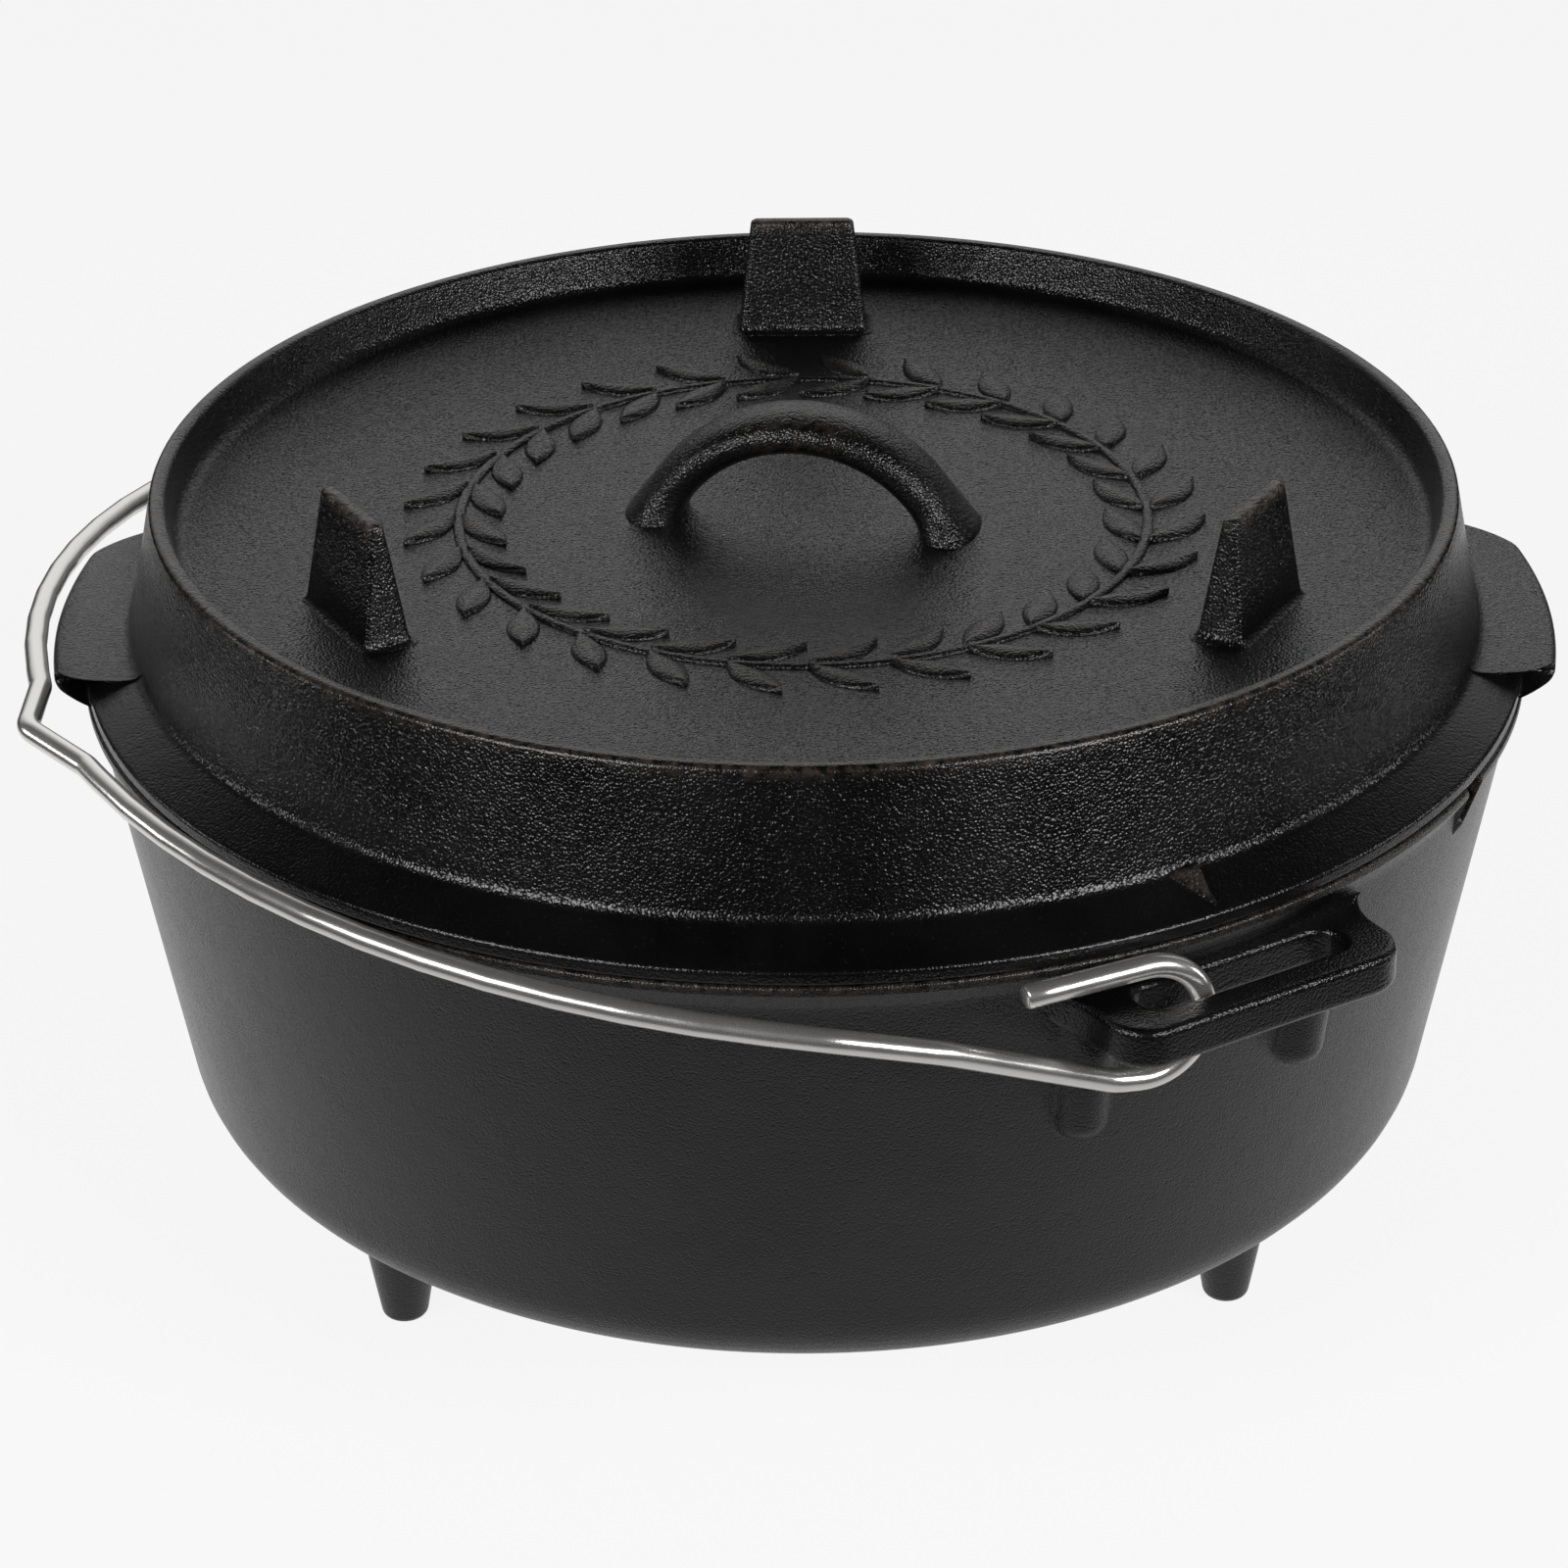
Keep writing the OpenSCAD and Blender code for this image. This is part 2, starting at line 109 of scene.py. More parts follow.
# Lifting tabs, lid legs, arch, wreath and the small ridge on the flange
TAB_TIP_R = 166.2
TAB_ROOT_R = 147.3
TAB_HALF_W = 41.0
TAB_SLANT = math.radians(21)
TAB_TIP_Z = 145.7
TAB_T = 3.8
TAB_CORNER_R = 8.0
TAB_ROOT_Z = 152.6
TAB_EDGE_TURN = math.radians(15)
LEG_TOP_Z = 199.8
LEG_CIRCLE = 108.6
LEG_TURNS = (90, 210, 330)
LEG_ROOT = (5.55, 15.35)
LEG_TOP = (1.7, 12.1)
ARCH_TOP_Z = 193.2
ARCH_HALF = 33.0
ARCH_SECTION = (9.0, 4.9)
ARCH_POWER = 2.2
ARCH_FLARE = 0.42
ARCH_FLARE_RUN = 11
ARCH_TURN = math.radians(-10.5)
WREATH_R = 76.0
LEAF = (9.0, 3.6)
LEAF_PAIRS = 28
LEAF_LEAN = math.radians(36)
RIDGE_TURN = math.radians(-60)
RIDGE_W = 6.4
RIDGE_H = 3.4
RIDGE_CIRCLE = 153
RIDGE_TOP_Z = 152.6
RIDGE_FALL = 4.8

# Bail
BAIL_RUNS = ("bail_front_hook", "bail_front_outer", "bail_front_inner", "bail",
             "bail_rear_inner", "bail_rear_outer", "bail_rear_hook")
WIRE_R = 2.5
HINGE_TURN = math.radians(10.414)
HINGE_Z = 131.7
REST_ANGLE = math.radians(7.0095)
BAIL_R = 171.0
HOOK_BEND_R = 12.84
KINK_REACH = 177.8

# Grain of the finishes, in waves to the metre
SWELL_WAVES = 120
CLOUD_WAVES = 38
SPECK_WAVES = 1000
RUB_WAVES = 420
STEEL_CLOUD_WAVES = 140
STEEL_GRAIN_WAVES = 2400

# Studio
TO_CAMERA = (0.849, -0.528, 0.0)
LAMP_AIM = (0, 0, 0.14)


def unit(vectors):
    """Each vector over its own length."""
    vectors = np.asarray(vectors, float)
    return vectors / np.linalg.norm(vectors, axis=-1, keepdims=True)


def smooth_step(value, low, high):
    """0 below low, 1 above high, and 3t^2 - 2t^3 between."""
    t = np.clip((value - low) / (high - low), 0, 1)
    return t * t * (3 - 2 * t)


def rounded(corners, radii, pitch=math.radians(9)):
    """Path through corners, each turned into a round bend of its own radius.

    A bend's point is its centre plus spoke times cos a plus the incoming direction
    times radius sin a, for a from nothing to the angle of the turn.
    """
    corners = np.asarray(corners, float)
    ways = unit(np.diff(corners, axis=0))
    runs = [corners[:1]]
    for corner, into, out, radius in zip(corners[1:-1], ways[:-1], ways[1:], radii[1:-1]):
        turn = math.acos(np.clip(into @ out, -1, 1))
        if radius == 0 or turn < 1e-4:
            runs.append(corner[None])
            continue
        centre = corner + unit(out - into) * radius / math.cos(turn / 2)
        spoke = corner - into * radius * math.tan(turn / 2) - centre
        a = np.linspace(0, turn, max(3, math.ceil(turn / pitch) + 1))[:, None]
        runs.append(centre + spoke * np.cos(a) + into * radius * np.sin(a))
    runs.append(corners[-1:])
    return np.concatenate(runs)


def lengths(path):
    """Distance along a path at each of its points."""
    return np.concatenate([[0], np.cumsum(np.linalg.norm(np.diff(path, axis=0), axis=1))])


def along(path, stations):
    """Points of a path at distances along it, each coordinate read off by straight steps."""
    run = lengths(path)
    return np.stack([np.interp(stations, run, path[:, k]) for k in range(path.shape[1])], axis=1)


def divided(path, gap):
    """The path with points added, so that none lie farther apart than gap."""
    run = lengths(path)
    extra = np.arange(0, run[-1], gap)
    nearest = np.abs(extra[:, None] - run[None]).min(axis=1)
    return along(path, np.sort(np.concatenate([run, extra[nearest > gap / 4]])))


def counted(path, count):
    """The path as a fixed count of points at even distances."""
    return along(path, np.linspace(0, lengths(path)[-1], count))


def turned(grid, angle):
    """Points turned about the upright axis."""
    c, s = math.cos(angle), math.sin(angle)
    return grid @ np.array([[c, s, 0], [-s, c, 0], [0, 0, 1]])


def refined_turn(step, zones):
    """Angles of one turn at an even step, with finer ones (centre, reach, step) in some zones."""
    angles = [np.arange(0, 2 * math.pi, step)]
    for centre, reach, fine in zones:
        angles = [a[np.abs((a - centre + math.pi) % (2 * math.pi) - math.pi) > reach] for a in angles]
        angles.append((centre + np.arange(-reach, reach, fine)) % (2 * math.pi))
    return np.unique(np.round(np.concatenate(angles), 6))


def round_grid(angles, r, z):
    """Surface of turning: the point at angle a of a station (r, z) is (r cos a, r sin a, z)."""
    return closed(np.stack(np.broadcast_arrays(r * np.cos(angles), r * np.sin(angles), z), axis=-1))


def closed(rows):
    """Rows with the first one once more at the end, so that the turn closes."""
    return np.concatenate([rows, rows[:1]])


def piece(name, grid, body, slot, finish, stands_for=(), **marks):
    """Piece from one grid of points, or a stack of them: neighbours join to quads, equal points to one.

    marks are named values at the points (the bronze mark, for abrasion and in places for painted highlight,
    and calm) that the materials read; none counts as 0.
    """
    points = grid.reshape(-1, 3)
    keys = np.round(points, 3) + 0.0
    _, first, weld = np.unique(keys, axis=0, return_index=True, return_inverse=True)
    number = weld.reshape(grid.shape[:-1])
    quads = np.stack([number[..., :-1, :-1], number[..., :-1, 1:],
                      number[..., 1:, 1:], number[..., 1:, :-1]], axis=-1).reshape(-1, 4)
    same = quads == np.roll(quads, -1, axis=1)
    doubled = same.sum(axis=1)
    faces = quads[doubled == 0].tolist()
    for side in range(4):
        faces += np.delete(quads[(doubled == 1) & same[:, side]], side, axis=1).tolist()
    mesh = bpy.data.meshes.new(name)
    mesh.from_pydata((points[first] * MM).tolist(), [], faces)
    mesh.shade_smooth()
    for mark, values in marks.items():
        values = np.broadcast_to(values, grid.shape[:-1]).reshape(-1)[first]
        mesh.attributes.new(mark, "FLOAT", "POINT").data.foreach_set("value", values.astype(np.float32))
    mesh.materials.append(finish)
    made = bpy.data.objects.new(name, mesh)
    bpy.context.scene.collection.objects.link(made)
    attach(made, body)
    if stands_for:
        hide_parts(*stands_for)


def swept(path, half_side, half_up, up_hint, power=2.0, sides=32):
    """Tube along a path: ring point is side x |cos|^(2/power) + up x |sin|^(2/power), signs kept."""
    tangent = unit(np.gradient(path, axis=0))
    side = unit(np.cross(up_hint, tangent))
    up = np.cross(tangent, side)
    a = np.linspace(0, 2 * math.pi, sides + 1)
    across = np.sign(np.cos(a)) * np.abs(np.cos(a)) ** (2 / power)
    upward = np.sign(np.sin(a)) * np.abs(np.sin(a)) ** (2 / power)
    half_side = np.broadcast_to(half_side, len(path))[:, None, None]
    half_up = np.broadcast_to(half_up, len(path))[:, None, None]
    grid = path[:, None] + half_side * side[:, None] * across[None, :, None]
    grid = grid + half_up * up[:, None] * upward[None, :, None]
    grid[:, -1] = grid[:, 0]
    return grid


def capped(grid):
    """A tube's grid with a point at each end's middle, so that both ends close."""
    first = np.broadcast_to(grid[0, :-1].mean(axis=0), grid[:1].shape)
    last = np.broadcast_to(grid[-1, :-1].mean(axis=0), grid[:1].shape)
    return np.concatenate([first, grid, last])


class Nodes:
    """Shorthand for one material's node tree."""

    def __init__(self, tree):
        self.tree = tree
        tree.nodes.clear()

    def add(self, kind, inputs=(), **settings):
        """Node of a kind, with its settings, and its sockets set to values or joined to outputs."""
        node = self.tree.nodes.new("ShaderNode" + kind)
        for name, value in settings.items():
            setattr(node, name, value)
        for socket, value in dict(inputs).items():
            if isinstance(value, bpy.types.NodeSocket):
                self.tree.links.new(value, node.inputs[socket])
            else:
                node.inputs[socket].default_value = value
        return node

    def noise(self, place, scale, detail=2.0, roughness=0.5):
        """Cloudy noise; scale is in waves to the metre."""
        sockets = {"Vector": place, "Scale": scale, "Detail": detail, "Roughness": roughness}
        return self.add("TexNoise", sockets).outputs["Fac"]

    def spread(self, value, low, high, to_low, to_high):
        """Value from one range stretched to another, and held at its ends."""
        sockets = {"Value": value, "From Min": low, "From Max": high, "To Min": to_low, "To Max": to_high}
        return self.add("MapRange", sockets).outputs["Result"]

    def math(self, operation, a, b):
        """One operation on two values."""
        return self.add("Math", {0: a, 1: b}, operation=operation).outputs[0]

    def blend(self, share, a, b):
        """Mix of two colours."""
        return self.add("Mix", {0: share, 6: a, 7: b}, data_type="RGBA").outputs[2]


def seasoned_iron(name, tone, gloss, pebble, height, bronze):
    """Cast iron under a baked oil film: pebbled skin, fine grain, cloudy gloss, bronze for abrasion and
    painted edge highlights.

    tone is the film's colour, gloss its range of roughness, pebble the skin's grain in mm,
    height the depth of that grain in mm and bronze the colour of abraded edges and of painted edge
    highlights.
    """
    made = bpy.data.materials.new(name)
    made.use_nodes = True
    n = Nodes(made.node_tree)
    place = n.add("TexCoord").outputs["Object"]
    cell = n.add("TexVoronoi", {"Vector": place, "Scale": 1000 / pebble}).outputs["Distance"]
    grain = n.noise(place, 1600 / pebble, 1.0, 0.5)
    swell = n.noise(place, SWELL_WAVES, 2.0, 0.5)
    cloud = n.noise(place, CLOUD_WAVES, 3.0, 0.6)
    speck = n.noise(place, SPECK_WAVES, 1.0, 0.5)
    # Bronze mark from the points: abrasion on most parts, and a painted highlight along the lid's rim edge
    # and on its flange ridge.
    bronze_mark = n.add("Attribute", attribute_name="wear").outputs["Fac"]
    patch = n.spread(n.noise(place, RUB_WAVES, 3.0, 0.65), 0.4, 0.7, 0.0, 1.0)
    bronze_share = n.math("MULTIPLY", bronze_mark, patch)
    deep = tuple(c * 0.55 for c in tone)
    pale = tuple(c * 1.5 for c in tone)
    film = n.blend(n.spread(cloud, 0.3, 0.7, 0.0, 1.0), (*deep, 1), (*pale, 1))
    film = n.blend(n.spread(speck, 0.66, 0.78, 0.0, 0.5), film, (*tuple(c * 4 for c in tone), 1))
    colour = n.blend(bronze_share, film, (*bronze, 1))
    rough = n.spread(cloud, 0.3, 0.7, gloss[0], gloss[1])
    rough = n.math("ADD", rough, n.spread(grain, 0.3, 0.7, -0.04, 0.04))
    relief = n.math("SUBTRACT", n.math("MULTIPLY", grain, 0.5), n.math("MULTIPLY", cell, cell))
    relief = n.math("ADD", relief, n.math("MULTIPLY", swell, 1.2))
    calm = n.add("Attribute", attribute_name="calm").outputs["Fac"]
    relief = n.math("MULTIPLY", relief, n.math("SUBTRACT", 1.0, calm))
    bump = n.add("Bump", {"Height": relief, "Strength": 1.0, "Distance": height * MM})
    film_shader = n.add("BsdfPrincipled", {
        "Base Color": colour, "Roughness": rough, "Normal": bump.outputs["Normal"],
        "Specular IOR Level": 0.5})
    n.add("OutputMaterial", {"Surface": film_shader.outputs["BSDF"]})
    return made


def drawn_steel(name):
    """Bright drawn steel wire: a fine even grain and a faint cloudy roughness."""
    made = bpy.data.materials.new(name)
    made.use_nodes = True
    n = Nodes(made.node_tree)
    place = n.add("TexCoord").outputs["Object"]
    cloud = n.noise(place, STEEL_CLOUD_WAVES, 3.0, 0.6)
    fine = n.noise(place, STEEL_GRAIN_WAVES, 2.0, 0.6)
    colour = n.blend(cloud, (0.76, 0.745, 0.72, 1), (0.86, 0.845, 0.82, 1))
    rough = n.spread(cloud, 0.3, 0.7, 0.19, 0.25)
    bump = n.add("Bump", {"Height": fine, "Strength": 0.5, "Distance": 0.02 * MM})
    steel = n.add("BsdfPrincipled", {
        "Base Color": colour, "Roughness": rough, "Normal": bump.outputs["Normal"], "Metallic": 0.88})
    n.add("OutputMaterial", {"Surface": steel.outputs["BSDF"]})
    return made


BRONZE = (0.10, 0.076, 0.06)
LID_IRON = seasoned_iron("lid_seasoned_iron", (0.003, 0.003, 0.003), (0.18, 0.24), 0.62, 0.17, BRONZE)
POT_IRON = seasoned_iron("pot_seasoned_iron", (0.0035, 0.0035, 0.0035), (0.24, 0.30), 0.52, 0.12, BRONZE)
EAR_IRON = seasoned_iron("ear_seasoned_iron", (0.003, 0.003, 0.003), (0.19, 0.26), 0.62, 0.1, BRONZE)
WIRE_STEEL = drawn_steel("bail_drawn_steel")


def lid_wall_r(z):
    """Radius of the lid's outer wall at a height."""
    return LID_RIM_R + (LID_RIM_Z - z) * math.tan(LID_DRAFT)


def dish_floor(r):
    """Height of the dish: lowest in the middle, rising with the square of the radius."""
    return DISH_Z - DISH_SAG * (1 - (r / LID_RIM_R) ** 2)


def lid_stations():
    """Half sections of the lid, plain and through a lifting tab, point for point.

    From the dish's middle out over the rim, down the wall and the flange to the seat,
    then back in under the plate.
    """
    dish_edge = LID_RIM_R - LID_RIM_W - 2.0
    land_r = dish_edge - 6
    inner = np.linspace(0, land_r, 26)
    low_wall_z = 162.0
    top = rounded(
        [(land_r, dish_floor(land_r)), (dish_edge, dish_floor(dish_edge)),
         (LID_RIM_R - LID_RIM_W, LID_RIM_Z), (LID_RIM_R, LID_RIM_Z), (lid_wall_r(low_wall_z), low_wall_z)],
        [0, 3.2, 1.4, 1.5, 0])
    top = np.concatenate([np.stack([inner, dish_floor(inner)], axis=1)[:-1], divided(top, 3)])
    wall = (lid_wall_r(low_wall_z), low_wall_z)
    edge_z = RIM_Z + FLANGE_EDGE_H
    steep = math.tan(LID_DRAFT)
    fall = math.tan(FLANGE_SLOPE)
    valley_r = (LID_RIM_R + (LID_RIM_Z - edge_z - FLANGE_R * fall) * steep) / (1 - fall * steep)
    valley = (valley_r, edge_z + (FLANGE_R - valley_r) * fall)
    seat = (LIP_R, SEAT_Z)
    count = 84
    plain = counted(rounded(
        [wall, valley, (FLANGE_R, edge_z), (FLANGE_R, SEAT_Z), seat], [0, VALLEY_R, 1.1, 0.5, 0]), count)
    tab_top = TAB_TIP_Z + TAB_T
    root = (lid_wall_r(TAB_ROOT_Z), TAB_ROOT_Z)
    tab = counted(rounded(
        [wall, root, (TAB_TIP_R, tab_top), (TAB_TIP_R, TAB_TIP_Z), (FLANGE_R - 0.6, RIM_Z + 0.3), seat],
        [0, 3.0, 1.6, 1.5, 0.6, 0]), count)
    plate_r = 135.8
    inset_r = plate_r - 3
    under_r = np.linspace(inset_r, 0, 12)
    under = rounded(
        [seat, (LIP_R, RIM_Z - LIP_D), (LIP_R - LIP_T, RIM_Z - LIP_D), (plate_r + 2.4, DISH_Z - PLATE_T - 4),
         (plate_r, dish_floor(plate_r) - PLATE_T), (inset_r, dish_floor(inset_r) - PLATE_T)],
        [0, 0.8, 1.5, 3.0, 2.0, 0])
    plate = np.stack([under_r, dish_floor(under_r) - PLATE_T], axis=1)
    under = np.concatenate([divided(under, 4), plate[1:]])
    plain = np.concatenate([top, plain[1:], under[1:]])
    tab = np.concatenate([top, tab[1:], under[1:]])
    return plain, tab


def lid_casting():
    """The lid: a turned section whose flange swells into two tabs and one ridge.

    Station k at angle u is plain(k) + m (tab(k) - plain(k)), where m steps from 1 to 0 at a
    tab's side. Angles are pulled so that one grid line follows that slanted side.
    """
    edge = TAB_EDGE_TURN
    soft = math.radians(0.5)
    zones = [(centre + side * edge, math.radians(1.2), math.radians(0.12))
             for centre in (0, math.pi) for side in (-1, 1)]
    zones.append((RIDGE_TURN % (2 * math.pi), math.radians(2.2), math.radians(0.1)))
    u = refined_turn(math.radians(1.5), zones)[:, None]
    plain, tab = lid_stations()
    off = (u + math.pi / 2) % math.pi - math.pi / 2
    tab_r = np.clip(tab[:, 0], TAB_ROOT_R, TAB_TIP_R)[None]
    line = TAB_HALF_W * math.cos(TAB_SLANT) + TAB_ROOT_R * math.sin(TAB_SLANT)
    corner = np.clip((tab_r - TAB_TIP_R) / TAB_CORNER_R + 1, 0, 1)
    cut = TAB_CORNER_R * (1 - np.sqrt(1 - (0.96 * corner) ** 2))
    side_turn = np.arcsin(line / tab_r) - TAB_SLANT - cut / tab_r
    pull = np.clip(1 - np.abs(np.abs(off) - edge) / edge, 0, 1)
    angles = u + np.sign(off) * pull * (side_turn - edge)
    share = 1 - smooth_step(np.abs(off), edge - soft, edge + soft)
    r = plain[None, :, 0] + share * (tab - plain)[None, :, 0]
    z = plain[None, :, 1] + share * (tab - plain)[None, :, 1]
    across = ((u - RIDGE_TURN + math.pi) % (2 * math.pi) - math.pi) * RIDGE_CIRCLE / RIDGE_W + 0.5
    down = (RIDGE_TOP_Z - plain[None, :, 1]) / RIDGE_FALL
    facet = np.clip(across - np.clip(down, 0, None), 0, 1) * np.clip((1.06 - across) / 0.06, 0, 1)
    on_slope = (1 - smooth_step(plain[None, :, 1], 152.2, 153.6)) * (plain[None, :, 0] > 140)
    lift = RIDGE_H * facet * on_slope
    r = r + lift * math.sin(FLANGE_SLOPE) * 0.3
    z = z + lift * math.cos(FLANGE_SLOPE)
    grid = turned(round_grid(angles, r, z), LID_TURN)
    # Flange ridge in bronze: abraded iron, and a painted highlight on its sloping face.
    ridge_bare_and_highlight = 0.4 * (facet * on_slope > 0.05)
    # Band along the rim's outer top edge: bronze for abrasion there and a painted highlight line; it also
    # calms the grain.
    rim_edge = np.exp(-(np.hypot(plain[:, 0] - LID_RIM_R + 0.6, plain[:, 1] - LID_RIM_Z + 0.4) / 1.3) ** 2)
    outside = (plain[:, 0] > LID_RIM_R - 3) & (plain[:, 1] > SEAT_Z - 0.5)
    slope = outside * (1 - smooth_step(plain[:, 1], 152.0, 156.0))
    calm = np.maximum(0.15 * outside, 0.6 * rim_edge ** 0.4)[None] + 0.4 * slope[None] * (1 - share)
    piece("lid_casting", grid, "lid", "lid_iron", LID_IRON, ("lid",),
          wear=np.maximum(0.6 * rim_edge[None], closed(ridge_bare_and_highlight)), calm=closed(calm))


def slab_ring(half, round_r, per_corner=6, flats=()):
    """Rings of rounded oblongs: four quarter circles about the corners' own centres.

    flats are the shares of each straight side at which it gets further points.
    """
    quarter = np.linspace(0, math.pi / 2, per_corner)
    a = np.concatenate([quarter + k * math.pi / 2 for k in range(4)])
    quadrant = np.repeat(np.arange(4), per_corner)
    to_x = np.where((quadrant == 0) | (quadrant == 3), 1.0, -1.0)
    to_y = np.where(quadrant < 2, 1.0, -1.0)
    round_r = np.minimum(round_r, half.min(axis=1))[:, None]
    x = to_x * (half[:, :1] - round_r) + round_r * np.cos(a)
    y = to_y * (half[:, 1:] - round_r) + round_r * np.sin(a)
    ring = np.stack([x, y], axis=-1)
    ring = np.concatenate([ring, ring[:, :1]], axis=1)
    sides = np.add.outer(per_corner * np.arange(1, 5) - 1, np.array(flats)).reshape(-1)
    at = np.sort(np.concatenate([np.arange(ring.shape[1]), sides]))
    before = np.minimum(at.astype(int), ring.shape[1] - 2)
    part = (at - before)[:, None]
    return ring[:, before] * (1 - part) + ring[:, before + 1] * part


def lid_leg(name, turn):
    """Lid leg: rounded oblongs stacked upwards, tapering, flared at the plate and rounded on top."""
    base_z = dish_floor(LEG_CIRCLE) - 1.0
    flare = 2.0
    brow = 1.1
    a = np.linspace(0, math.pi / 2, 9)
    z = np.concatenate([
        base_z + 1.0 + flare * (1 - np.cos(a)) - 1.0 * (a == 0),
        np.linspace(base_z + 1.0 + flare, LEG_TOP_Z - brow, 12)[1:],
        LEG_TOP_Z - brow + brow * np.sin(a[1:])])
    share = ((z - base_z) / (LEG_TOP_Z - base_z))[:, None]
    half = np.array(LEG_ROOT) + share * (np.array(LEG_TOP) - np.array(LEG_ROOT))
    spread = flare - np.sqrt(np.clip(flare ** 2 - np.clip(base_z + 1 + flare - z, 0, flare) ** 2, 0, None))
    drawn_in = brow - np.sqrt(np.clip(brow ** 2 - np.clip(z - LEG_TOP_Z + brow, 0, brow) ** 2, 0, None))
    half = half + (spread - drawn_in)[:, None]
    ring = slab_ring(half, 1.3 + spread)
    grid = np.concatenate([ring, np.broadcast_to(z[:, None, None], (*ring.shape[:2], 1))], axis=-1)
    grid[..., 0] += LEG_CIRCLE
    grid = turned(capped(grid), LID_TURN + math.radians(turn))
    bronze_share = np.concatenate([[0], smooth_step(z, LEG_TOP_Z - 3.0, LEG_TOP_Z - 0.2), [1]])[:, None]
    piece(name, grid, "lid", "lid_iron", LID_IRON, wear=bronze_share * 0.8)


def lid_arch():
    """Carrying arch: a flat oval carried along a round bow, its ends flared into the plate."""
    foot_z = dish_floor(0) - 2.0
    rise = ARCH_TOP_Z - foot_z
    bow_r = (ARCH_HALF ** 2 + rise ** 2) / (2 * rise)
    half_turn = math.acos((bow_r - rise) / bow_r)
    a = np.linspace(-half_turn, half_turn, 72)
    path = np.stack([bow_r * np.sin(a), 0 * a, ARCH_TOP_Z - bow_r + bow_r * np.cos(a)], axis=1)
    left = (half_turn - np.abs(a)) * bow_r
    flare = 1 + ARCH_FLARE * np.clip(1 - left / ARCH_FLARE_RUN, 0, 1) ** 2
    wide, thick = ARCH_SECTION
    grid = swept(path, wide * flare, thick * flare, np.array([0, 0, 1.0]), ARCH_POWER, 40)
    grid = turned(capped(grid), LID_TURN + ARCH_TURN)
    top = smooth_step(path[:, 2], ARCH_TOP_Z - 3, ARCH_TOP_Z)
    bronze_share = np.concatenate([[0], top, [0]])[:, None] * 0.25
    piece("lid_arch", grid, "lid", "lid_iron", LID_IRON, wear=bronze_share)


def lid_wreath():
    """Plain wreath cast on the dish: pointed leaves in pairs along a round stem.

    Leaf point at ring angle t and share q: (half length cos t, q half width sin t |sin t|), which
    rises from the outline (q = 1) to the crest along the leaf's middle (q = 0).
    """
    t = np.linspace(0, 2 * math.pi, 25)
    share = np.array([0, 1, 1, 0.8, 0.5, 0.2, 0])[:, None]
    rise = np.array([-0.8, -0.8, 0.25, 0.7, 1.05, 1.25, 1.3])[:, None]
    x = LEAF[0] * np.cos(t) + 0 * share
    y = LEAF[1] * np.sin(t) * np.abs(np.sin(t)) * share
    stem = np.repeat(np.arange(LEAF_PAIRS) * 2 * math.pi / LEAF_PAIRS, 2)
    lean = np.tile((-LEAF_LEAN, LEAF_LEAN), LEAF_PAIRS)
    way = (stem + math.pi / 2 + lean)[:, None, None]
    reach = LEAF[0] + 1.2
    px = WREATH_R * np.cos(stem)[:, None, None] + (x + reach) * np.cos(way) - y * np.sin(way)
    py = WREATH_R * np.sin(stem)[:, None, None] + (x + reach) * np.sin(way) + y * np.cos(way)
    pz = dish_floor(np.hypot(px, py)) + rise
    grid = np.stack([px, py, pz], axis=-1)
    grid[..., -1, :] = grid[..., 0, :]
    piece("lid_wreath_leaves", turned(grid, LID_TURN), "lid", "lid_iron", LID_IRON,
          wear=np.clip(rise - 0.7, 0, None)[None] * 0.5)
    b = np.linspace(math.pi, -math.pi, 17)
    u = np.linspace(0, 2 * math.pi, 180, endpoint=False)[:, None]
    section = (WREATH_R + 1.3 * np.cos(b))[None], (dish_floor(WREATH_R) + 0.9 * np.sin(b))[None]
    grid = round_grid(u, *section)
    grid[:, -1] = grid[:, 0]
    piece("lid_wreath_stem", turned(grid, LID_TURN), "lid", "lid_iron", LID_IRON)


def pot_wall_r(z):
    """Radius of the pot's outer wall at a height."""
    return RIM_R - RIM_OVER - (RIM_Z - z) * math.tan(WALL_DRAFT)


